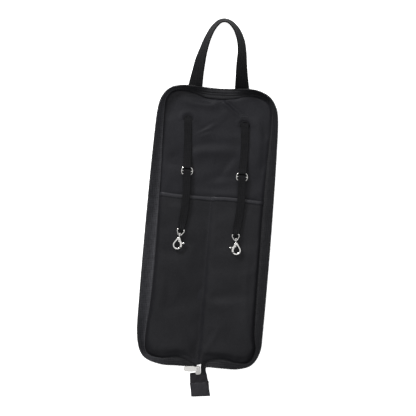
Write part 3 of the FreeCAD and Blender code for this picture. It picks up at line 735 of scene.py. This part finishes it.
def simulate(coarse, slack, held):
    """Settles a coarse grid of cloth; returns how far each point rises."""
    high, wide = coarse.shape[:2]
    before = coarse.reshape(-1, 3)
    obj = link("settling", before, grid_faces(high, wide), LINING)
    obj.vertex_groups.new(name="held").add(held, 1.0, "REPLACE")
    modifier = obj.modifiers.new("settle", "CLOTH")
    for key, value in CLOTH.items():
        setattr(modifier.settings, key, value)
    modifier.settings.shrink_min = -slack
    modifier.settings.shrink_max = -slack
    modifier.settings.effector_weights.gravity = 0
    modifier.collision_settings.use_collision = False
    scene = bpy.context.scene
    for step in range(1, SETTLE_STEPS + 1):
        scene.frame_set(step)
    shape = obj.evaluated_get(bpy.context.evaluated_depsgraph_get()).data
    after = np.array([v.co[:] for v in shape.vertices]) / MM
    bpy.data.objects.remove(obj)
    scene.frame_set(1)
    return (after - before)[:, 2].reshape(high, wide)


def settle(x, y, z, slack, seed, mouth=False):
    """A slack cloth held at its edges, left to settle by simulation; a mouth
    leaves its first edge free. Returns how far each point of the finer grid
    rises. The cloth starts from a faint seeded unevenness."""
    rows, columns = x.shape
    pick_rows = np.linspace(0, rows - 1, max(rows // 3, 8)).astype(int)
    pick_columns = np.linspace(0, columns - 1, 26).astype(int)
    coarse = np.dstack([x, y, z])[np.ix_(pick_rows, pick_columns)]
    coarse[:, :, 2] += 0.4 * ripple(coarse[:, :, 0] * 2, coarse[:, :, 1] * 2, seed)
    edge = np.ones(coarse.shape[:2], bool)
    edge[0 if mouth else 1:-1, 1:-1] = False
    rise = simulate(coarse, slack, [int(i) for i in np.flatnonzero(edge)])
    for _ in range(2):
        around = rise[2:, 1:-1] + rise[:-2, 1:-1] + rise[1:-1, 2:] + rise[1:-1, :-2]
        rise[1:-1, 1:-1] = 0.4 * rise[1:-1, 1:-1] + 0.15 * around
    rise = SETTLE_CAP * np.tanh(rise / SETTLE_CAP)
    fine = np.array([np.interp(np.arange(columns), pick_columns, row) for row in rise])
    return np.array([np.interp(np.arange(rows), pick_rows, column) for column in fine.T]).T


SEAM_FAR = 80.0        # from this far off, the seam does not shape the cloth


def on_pocket(x, y, rim, lift):
    return np.column_stack([x, y, pocket_height(x, y, rim) + lift])


def thread_piece(name, slot, lines, *stitch):
    return piece(name, merge([stitch_row(line, *stitch) for line in lines]), THREAD, slot)


def make_cover_stitches(name):
    """Rows of thread on the tape beside the seam, and under the hem."""
    line, _ = on_tape(name, 0.17)
    folds_with(thread_piece(name + "_seam_stitches", "zipper_tape", [line], 3.2, 2.2, 0.2))
    x = SIDES[name] * np.linspace(1.5, 82.0, 160)
    y = HEM_Y + 1.3 + hem_line(x)
    line = on_pocket(x, y, seam_distance(x, y, name), 1.15)
    folds_with(thread_piece(name + "_hem_stitches", "hem_band", [line], 2.8, 1.9, 0.2))


def make_bartack():
    """The dense block of stitches that holds the divider's top end to the hem,
    and the divider's own row of stitches."""
    x = np.linspace(-2.0, 6.0, 30)
    lines = [on_pocket(x, np.full(30, MOUTH_Y - 0.6 - 0.8 * k), SEAM_FAR, 1.35) for k in range(7)]
    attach(thread_piece("divider_bartack", "hem_band", lines, 2.0, 1.8, 0.28, 0.1), "spine")
    y = np.linspace(HEM_Y - 1.0, BODY_BOTTOM + 16.0, 500)
    lines = [on_pocket(np.full(500, 0.6), y, SEAM_FAR, 0.1)]
    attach(thread_piece("divider_stitches", "lining_fabric", lines, 3.0, 2.1, 0.2), "spine")


DOWNWARD = (0, 0, -1)
BOX_HALF = 9.5         # the box stitch on a handle end, half its width
BOX_LENGTH = 22.0


def make_back():
    """The back: a cloth strip over the spine and the box stitches that hold
    the handle's ends."""
    high = BODY_TOP - 17.0
    low = BODY_BOTTOM + 10.0
    y, across = np.meshgrid(np.linspace(high, low, 220), np.linspace(-1, 1, 31), indexing="ij")
    x = 14.0 * across + 0.25 * np.sin(y / 19.0)
    edge = 0.22 * (1 - np.abs(across) ** 10)
    swell = 0.05 * np.sin(y / 11.0) * np.cos(across * 5.0)
    top = np.dstack([x, y, np.full(x.shape, 0.75)])
    shape = slab(top, np.dstack([x, y, 0.42 - edge + swell * 0.5]))
    strip = piece("spine_back_strip", shape, SHELL, "shell_fabric")
    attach(strip, "spine")
    lines = [[(x, high - 2, 0.2), (x, 0, 0.2), (x, low + 2, 0.2)] for x in (-12.3, 12.3)]
    stitches = thread_piece("spine_back_stitches", "shell_fabric", lines, 3.0, 2.1, 0.18, 0.08, DOWNWARD)
    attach(stitches, "spine")
    for name in SIDES:
        foot = np.array(HANDLE_LINE[name][0][:2])
        down = unit(foot - np.array(HANDLE_LINE[name][1][:2]))
        wide = np.array([-down[1], down[0]]) * BOX_HALF
        start = foot - down * 3.0
        end = start - down * BOX_LENGTH
        corners = [start + wide, start - wide, end - wide, end + wide]
        route = [(*corners[k], -0.02) for k in (0, 1, 2, 3, 0, 2, 1, 3)]
        lines = zip(route, route[1:])
        stitch = (2.6, 1.9, 0.18, 0.06, DOWNWARD)
        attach(thread_piece(name + "_handle_stitches", "handle_webbing", lines, *stitch), name + "_cover")


MAKERS = (
    make_shell, make_lining, make_padding, make_pocket, make_hem, make_tape, make_coil, make_binding,
)


def build_cover(name):
    parts = []
    for make in MAKERS:
        parts.append(make(name))
        folds_with(parts[-1])
    make_cover_stitches(name)
    return parts


# ---- handle ----
# Each half of the webbing, from its sewn end to the apex: x, y, height and
# the turn of its face in degrees.
HANDLE_LINE = {
    "left": [
        (-46.5, 136, 0.85, 0), (-43.3, 162, 0.85, 0), (-40.6, 184, 1.3, 1), (-39.6, 196, 5.6, 22),
        (-37.9, 214, 8.2, 38), (-35.1, 236.5, 9.6, 48), (-31.2, 255, 11, 59), (-26.3, 273, 11.8, 65),
        (-19.8, 288.5, 12.2, 69), (-12.4, 298.8, 12.4, 71), (-6.6, 303.2, 12.4, 72), (-0.7, 304.6, 12.4, 72),
    ],
    "right": [
        (42.5, 138, 0.85, 0), (39.6, 163, 0.85, 0), (37.3, 186, 1.3, 1), (35.9, 199, 5.6, 22),
        (34, 217, 8.2, 38), (32.3, 236.5, 9.6, 48), (31.2, 256, 11, 57), (27.8, 273.5, 11.7, 61),
        (20.9, 289, 12.2, 66), (12.2, 299.2, 12.4, 70), (5.4, 303.3, 12.4, 72), (-0.7, 304.6, 12.4, 72),
    ],
}
HANDLE_WIDTH = 25.0
HANDLE_THICK = 2.1


def handle_half(name, side):
    """Middle line, width direction and face direction of one half."""
    points = np.array(HANDLE_LINE[name], float)
    line = catmull(points, even_samples(points[:, :3], 1.5))
    flat, up = frames_along(line[:, :3])
    turn = -np.radians(line[:, 3])[:, None] * side
    return line[:, :3], flat * np.cos(turn) + up * np.sin(turn), up * np.cos(turn) - flat * np.sin(turn)


def bends(obj):
    """Bakes the piece's placement into its mesh."""
    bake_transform(obj)


def make_handle():
    loops = []
    for name, side in SIDES.items():
        half = handle_half(name, side)
        split = int(np.argmin(np.abs(half[0][:, 1] - LOOP_Y)))
        leg = band(*[v[:split + 1] for v in half], HANDLE_WIDTH, HANDLE_THICK)
        obj = piece(name + "_handle_webbing", leg, HANDLE_WEB, "handle_webbing", name + "_handle_leg")
        bends(obj)
        loops.append([v[split:] for v in half])
    loop = [np.concatenate([a, sign * b[::-1][1:]]) for a, b, sign in zip(*loops, (1, -1, 1))]
    shape = band(*loop, HANDLE_WIDTH, HANDLE_THICK)
    obj = piece("handle_loop_webbing", shape, HANDLE_WEB, "handle_webbing", "handle_loop")
    bends(obj)


# ---- straps ----
STRAP_THICK = 1.2
STRAP_WIDTH = 12.5
GATHERED = 8.0         # width of the webbing where it passes through a clasp
UPPER_BOW = {"left": 0.3, "right": 2.0}
LOWER_BOW = 3.0


def strap_piece(name, line, node, spacing=1.0, gathered_at=None):
    """A run of strap webbing; gathered_at is the y at which a clasp pinches it."""
    centre = catmull(line, even_samples(line, spacing))
    tangent = unit(np.gradient(centre, axis=0))
    across = np.tile([1.0, 0.0, 0.0], (len(centre), 1))
    across = unit(across - tangent * (across * tangent).sum(1)[:, None])
    pinch = None
    if gathered_at is not None:
        near = smooth_step((centre[:, 1] - gathered_at - 12.0) / -9.0)
        pinch = 1 - (1 - GATHERED / STRAP_WIDTH) * near
    shape = band(centre, across, np.cross(tangent, across), STRAP_WIDTH, STRAP_THICK, pinch)
    return piece(name, shape, STRAP_WEB, "strap_webbing", node)


def course(a, b, bow, heights):
    """Points over the plan line from a to b, bowed towards the right."""
    points = []
    for y, z in heights:
        share = (y - a[1]) / (b[1] - a[1])
        x = a[0] + (b[0] - a[0]) * share + bow * math.sin(math.pi * min(max(share, 0.0), 1.0))
        points.append((x, y, z))
    return points


def build_strap(name):
    cover, strap, slide, end = [name + part for part in ("_cover", "_strap", "_adjuster", "_strap_end")]
    anchor = STRAP_ROOT[name]
    ring_low, ring_high = box_mm(name + "_strap_adjuster")
    ring = (ring_low + ring_high) / 2
    bar = np.array(joint(name + "_clasp_lift")["pos_m"]) / MM
    edge = ring[1] + (ring_high[1] - ring_low[1]) / 2
    low_edge = 2 * ring[1] - edge
    over = ring_high[2] + STRAP_THICK / 2 + 0.1
    root = [(anchor[1] + dy, z) for dy, z in ((6.5, 3.0), (3.5, 4.7), (0, 7.0), (-5, 7.5), (-12, 7.3))]
    line = course(anchor, ring, UPPER_BOW[name], root)
    obj = strap_piece(name + "_strap_root", line, name + "_strap_anchor")
    bends(obj)
    run = [(anchor[1] - dy, z) for dy, z in ((12, 7.3), (28, 6.9), (50, 7.4))]
    line = course(anchor, ring, UPPER_BOW[name], run + [(edge + 10, 9.2), (edge + 0.4, over)])
    obj = strap_piece(name + "_strap_upper", line, name + "_strap_upper_webbing")
    bends(obj)
    dip = ring[2] - 2.0
    weave = [(edge + 0.4, over), (ring[1] + 4.9, over), (ring[1] + 2.0, dip), (ring[1] - 2.0, dip),
             (ring[1] - 4.9, over), (low_edge - 0.4, over)]
    line = [(ring[0], y, z) for y, z in weave]
    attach(strap_piece(name + "_strap_weave", line, name + "_strap_adjuster_webbing", 0.6), slide)
    turn = 2.4         # radius of the webbing's turn round the clasp's bar
    z_low = bar[2] - 1.9
    z_high = z_low + STRAP_THICK + 0.5
    back = [(low_edge - 0.4, over), (MOUTH_Y + 16, over + 0.6), (MOUTH_Y - 2, z_low), (-10, z_low),
            (bar[1] + 9, z_low), (bar[1] + 2, bar[2] - turn), (bar[1] - 1.8, bar[2] - 1.6),
            (bar[1] - turn, bar[2]), (bar[1] - 1.8, bar[2] + 1.6), (bar[1] + 2, bar[2] + turn - 0.2),
            (bar[1] + 9, z_high), (-10, z_high), (MOUTH_Y - 2, z_high + 0.1), (MOUTH_Y + 16, over + 2.3),
            (ring[1] - 1.0, over + 1.9), (ring[1] + 1.6, over + 0.6), (ring[1] + 2.2, ring[2] + 0.2)]
    line = course(ring, bar, LOWER_BOW, back)
    obj = strap_piece(name + "_strap_lower", line, name + "_strap_lower_webbing", 0.8, bar[1])
    bends(obj)


def on_lining(points, lift=0.15):
    """Plan points laid on the upper lining of the cover they are on."""
    p = np.asarray(points, float)
    dense = np.linspace(0, len(p) - 1, 30 * (len(p) - 1) + 1)
    x, y = [np.interp(dense, np.arange(len(p)), p[:, c]) for c in (0, 1)]
    return np.column_stack([x, y, lining_height(x, y, SEAM_FAR) + lift])


def build_root_slit(name):
    """A raised arch of dark binding cloth over the slit that the strap comes out of, and its stitches. The
    arch's dark colour is painted shadow, standing in for the arched shadow over the strap's root; the raised
    arch also casts a real one.
    """
    x, y = STRAP_ROOT[name][:2]
    angle = np.linspace(math.radians(-8), math.radians(188), 40)
    arch = np.column_stack([x + 7.2 * np.cos(angle), y - 1.0 + 6.6 * np.sin(angle)])
    # Painted shadow: dark cloth laid in an arch where the shadow over the strap's root falls.
    shadow_welt = tube(on_lining(arch, 1.0)[::30], 1.3)
    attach(piece(name + "_strap_welt", shadow_welt, BINDING, "lining_fabric"), name + "_cover")
    beside = ([(x + 8.8, y + 2), (x + 9.4, y - 9)], [(x - 8.8, y + 2), (x - 9.2, y - 7)])
    rows = [stitch_row(on_lining(line), 2.4, 1.7) for line in beside]
    for up in (13.0, 17.0):
        rows.append(stitch_row(on_lining([(x - 8, y + up), (x + 5, y + up + 0.6)]), 2.4, 1.8, 0.3, 0.2))
    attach(piece(name + "_strap_root_stitches", merge(rows), THREAD, "lining_fabric"), name + "_cover")


# ---- zipper tail ----
TAIL_HALF = 15.0
TAIL_COIL_TOP = 5.5
CAP_TOP = 19.5
Z_TAIL = 1.7


def on_tail(run, width):
    """Plan points at distances down the tail and across it."""
    return TAIL_MIDDLE[:2] + run[:, :, None] * TAIL_DOWN[:2] + width[:, :, None] * TAIL_ACROSS[:2]


def tail_rows(rows, thick, lift_wave=0.25, columns=25):
    """Cloth laid along the tail; each row is (distance down, edge, edge, height)."""
    line = catmull(rows, np.linspace(0, len(rows) - 1, 6 * len(rows)))
    share = np.linspace(0, 1, columns)
    width = line[:, 1:2] * (1 - share) + line[:, 2:3] * share
    run = np.repeat(line[:, :1], columns, axis=1)
    plan = on_tail(run, width)
    high = line[:, 3:4] + lift_wave * np.sin(width / 2.1 + run / 3.0)
    bottom = np.maximum(high - thick / 2, 0.05)
    return slab(np.dstack([plan, high + thick / 2]), np.dstack([plan, bottom]))


TAIL_STRIPS = {
    "left": [
        (3.4, -13.4, -4.6, 2.4), (5.5, -13.7, -3.6, 2.7), (8, -14, 0.3, 3.1), (14, -14.5, 0.7, 3.2),
        (20, -14.8, 0.7, 3.1), (27, -15, 0.7, 2.9),
    ],
    "right": [
        (3, 4.6, 12.8, 2.9), (5.5, 4, 13.3, 3.1), (8, -0.1, 13.8, 3.6), (14, -0.5, 14.3, 3.8),
        (20, -0.5, 14.8, 3.6), (27, -0.5, 15, 3.3),
    ],
}
RIGHT_NECK = [
    (-15.5, 11.5, 22.5, 3.8), (-12.5, 8.6, 20, 4.1), (-9, 6.4, 16.6, 4.1), (-5, 5.3, 14.2, 3.9),
    (0, 4.9, 13, 3.6), (4, 4.7, 12.9, 3.2), (8, 4.2, 13.2, 3.1),
]
LEFT_NECK = [
    (-12.5, -8, -1.4, 3.2), (-9.5, -5.9, -1, 3), (-6.5, -4, -0.6, 2.6), (-2, -3.9, -0.4, 2.4),
    (2.5, -4, -0.4, 2.4), (6, -5, -0.6, 2.4),
]
NECK_PLEATS = [(0, 0.42, 0.3), (0.30, 0.76, 0.8), (0.64, 1, 0.15)]   # edges as shares, and rise


def build_tail():
    for name, rows in TAIL_STRIPS.items():
        shape = tail_rows(rows, 0.7)
        obj = piece(name + "_tail_cloth", shape, TAIL_TAPE, "zipper_tape", name + "_tail_tape")
        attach(obj, "spine")
    pleats = build_neck()
    hidden = build_left_neck()
    build_tail_coil()
    build_tail_cap()


def build_neck():
    """The right tape turns down past the slider into the tail, gathered
    into three soft pleats."""
    pleats = []
    for k, (low, high, rise) in enumerate(NECK_PLEATS):
        rows = [(t, a + (b - a) * low, a + (b - a) * high, z + rise) for t, a, b, z in RIGHT_NECK]
        obj = piece("neck_pleat_" + str(k + 1), tail_rows(rows, 0.8, 0.3, 9), NECK_TAPE_SHADED, "zipper_tape")
        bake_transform(obj)
        pleats.append(obj)
    return pleats


def build_left_neck():
    """The left tape's way into the tail, inside the slider's channel, which
    shows when the slider has run down."""
    obj = piece("left_neck_cloth", tail_rows(LEFT_NECK, 0.7, 0.1, 9), NECK_TAPE_SHADED, "zipper_tape")
    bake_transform(obj)
    return obj


def build_tail_coil():
    line = TAIL_MIDDLE + np.outer(np.linspace(TAIL_COIL_TOP, CAP_TOP + 2, 200), TAIL_DOWN)
    line[:, 2] = Z_TAIL
    turns = np.arange(len(line)) * 2 * math.pi / 10
    parts = []
    for side in SIDES.values():
        helix = line + np.outer(side * 1.0 + 0.8 * np.cos(turns), TAIL_ACROSS)
        helix[:, 2] += 0.8 * np.sin(turns)
        parts.append(tube(helix, 0.34, 5))
    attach(piece("tail_coil_teeth", merge(parts), COIL, "zipper_coil", "tail_coil"), "spine")


def build_tail_cap():
    """A folded piece of cloth that closes the tail, pinched at its edges."""
    reach = (TAIL_MIDDLE[1] - TAIL_END) / abs(TAIL_DOWN[1]) - 0.6
    r, c = np.meshgrid(np.linspace(0, 1, 30), np.linspace(-1, 1, 37), indexing="ij")
    run = CAP_TOP + (reach - CAP_TOP) * r + 1.1 * c * r
    width = (TAIL_HALF + 0.6 - 0.4 * np.sin(math.pi * r)) * c
    swell = 1.45 * (1 - np.abs(c) ** 7) * (1 - np.abs(2 * r - 1) ** 12) + 0.3
    hem = 0.35 * np.exp(-((r - 0.83) / 0.02) ** 2) + 0.30 * np.exp(-((r - 0.93) / 0.015) ** 2)
    rim = 0.45 * np.exp(-((np.abs(c) - 0.9) / 0.03) ** 2)
    wrinkle = 0.20 * np.sin(c * 6 + r * 5) + 0.16 * np.sin(c * 15 - r * 3) * (1 - r)
    plan = on_tail(run, width)
    top = np.dstack([plan, 2.6 + swell - hem - rim + wrinkle])
    shape = slab(top, np.dstack([plan, np.maximum(2.3 - swell, 0.15)]))
    obj = piece("tail_cap_cloth", shape, CAP, "end_cap_fabric", "tail_end_cap")
    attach(obj, "spine")
    hem_edge = top[25, 3:-3] + [0, 0, 0.1]
    lines = (hem_edge, top[3:-3, 2], top[3:-3, -3])
    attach(thread_piece("tail_cap_stitches", "end_cap_fabric", lines, 2.6, 1.8, 0.2), "spine")


# ---- carried CAD nodes ----
METAL_BODIES = {"zipper_slider": "slider", "slider_pull": "pull"}
for cover in SIDES:
    METAL_BODIES[cover + "_strap_adjuster"] = cover + "_adjuster"
    for part in ("_clasp_loop", "_clasp_hook", "_clasp_gate"):
        METAL_BODIES[cover + part] = cover + part


def build_metal(node, body):
    """Cast metal: the frame's own part with its sharp edges rounded off."""
    obj = add_object(node + "_cast", frame["nodes"][node].data.copy())
    bm = bmesh.new()
    bm.from_mesh(obj.data)
    bmesh.ops.remove_doubles(bm, verts=bm.verts, dist=0.02 * MM)
    bmesh.ops.dissolve_limit(bm, angle_limit=math.radians(2), verts=bm.verts, edges=bm.edges)
    bm.to_mesh(obj.data)
    bm.free()
    obj.data.materials.clear()
    obj.data.materials.append(SLIDER_METAL if node == "zipper_slider" else CHROME)
    obj.data.polygons.foreach_set("use_smooth", [True] * len(obj.data.polygons))
    bevel = obj.modifiers.new("rounding", "BEVEL")
    bevel.width = 0.3 * MM
    bevel.segments = 3
    bevel.limit_method = "ANGLE"
    bevel.angle_limit = math.radians(38)
    obj.modifiers.new("shading", "WEIGHTED_NORMAL")
    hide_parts(node)
    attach(obj, body)


# ---- stage ----
def area_light(name, place, size, energy):
    """A round soft light that shines on the middle of the bag."""
    data = bpy.data.lights.new(name, "AREA")
    data.shape = "DISK"
    data.size = size
    data.energy = energy
    obj = add_object(name, data)
    obj.location = place
    obj.rotation_euler = (-Vector(place)).to_track_quat("-Z", "Y").to_euler()


FLOOR_HALF = 6.0       # metres


def build_floor():
    """A pale floor, 0.4 mm below the frame's zero height."""
    mesh = bpy.data.meshes.new("floor")
    corners = [(x * FLOOR_HALF, y * FLOOR_HALF, -0.0004) for x, y in ((-1, -1), (1, -1), (1, 1), (-1, 1))]
    mesh.from_pydata(corners, [], [(0, 1, 2, 3)])
    look = Look(bpy.data.materials.new("floor_white"))
    grain = look.node("TexNoise", "Fac", {"Scale": 3.0})
    look.feed({
        "Base Color": look.ramp(grain, [0.95 * 0.985] * 3, [0.95] * 3),
        "Roughness": 0.9,
        "Emission Color": (1, 1, 1, 1),
        "Emission Strength": 0.85,
    })
    mesh.materials.append(look.owner)
    add_object("floor", mesh)


def build_stage():
    build_floor()
    build_world()
    area_light("key", (-1.2, 1.4, 1.2), 0.6, 48.0)
    area_light("fill", (0.3, 1.2, 2.2), 1.2, 8.0)
    area_light("low", (-0.5, -1.3, 1.5), 0.7, 3.0)
    bpy.context.scene.view_settings.view_transform = "Standard"


def build_world():
    """A dim room with a white ceiling."""
    look = Look(bpy.data.worlds.new("studio"), "Background")
    up = look.node("SeparateXYZ", "Z", {"Vector": look.node("TexCoord", "Generated", {})})
    colour = look.ramp(up, (0.13, 0.135, 0.15), (1.0, 1.0, 1.0), 0.55, 0.90)
    look.feed({"Color": colour, "Strength": 1.0})
    bpy.context.scene.world = look.owner


# Straight down, turned so that the bag leans a little to the right.
CAMERA_ROLL = 4.8
CAMERA_HEIGHT = 2.4
VIEW_WIDTH = 0.677
VIEW_CENTRE = (-0.0027, -0.0015)


def build_camera():
    data = bpy.data.cameras.new("camera")
    data.sensor_width = 36.0
    data.lens = data.sensor_width * (CAMERA_HEIGHT - 0.006) / VIEW_WIDTH
    camera = add_object("camera", data)
    camera.location = (VIEW_CENTRE[0], VIEW_CENTRE[1], CAMERA_HEIGHT)
    camera.rotation_euler = (0, 0, math.radians(CAMERA_ROLL))
    bpy.context.scene.camera = camera


build_camera()
COVERS = {name: build_cover(name) for name in SIDES}
make_bartack()
make_handle()
make_back()
for strap in SIDES:
    build_strap(strap)
    build_root_slit(strap)
build_tail()
for metal_node, metal_body in METAL_BODIES.items():
    build_metal(metal_node, metal_body)
build_stage()
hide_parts("spine_outer_shell", "top_end_tape", "bottom_end_tape")
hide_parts("spine_lining")
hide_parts("spine_foam_pad")
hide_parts("spine_pocket_sheet", "pocket_divider_seam", "spine_pocket_hem")
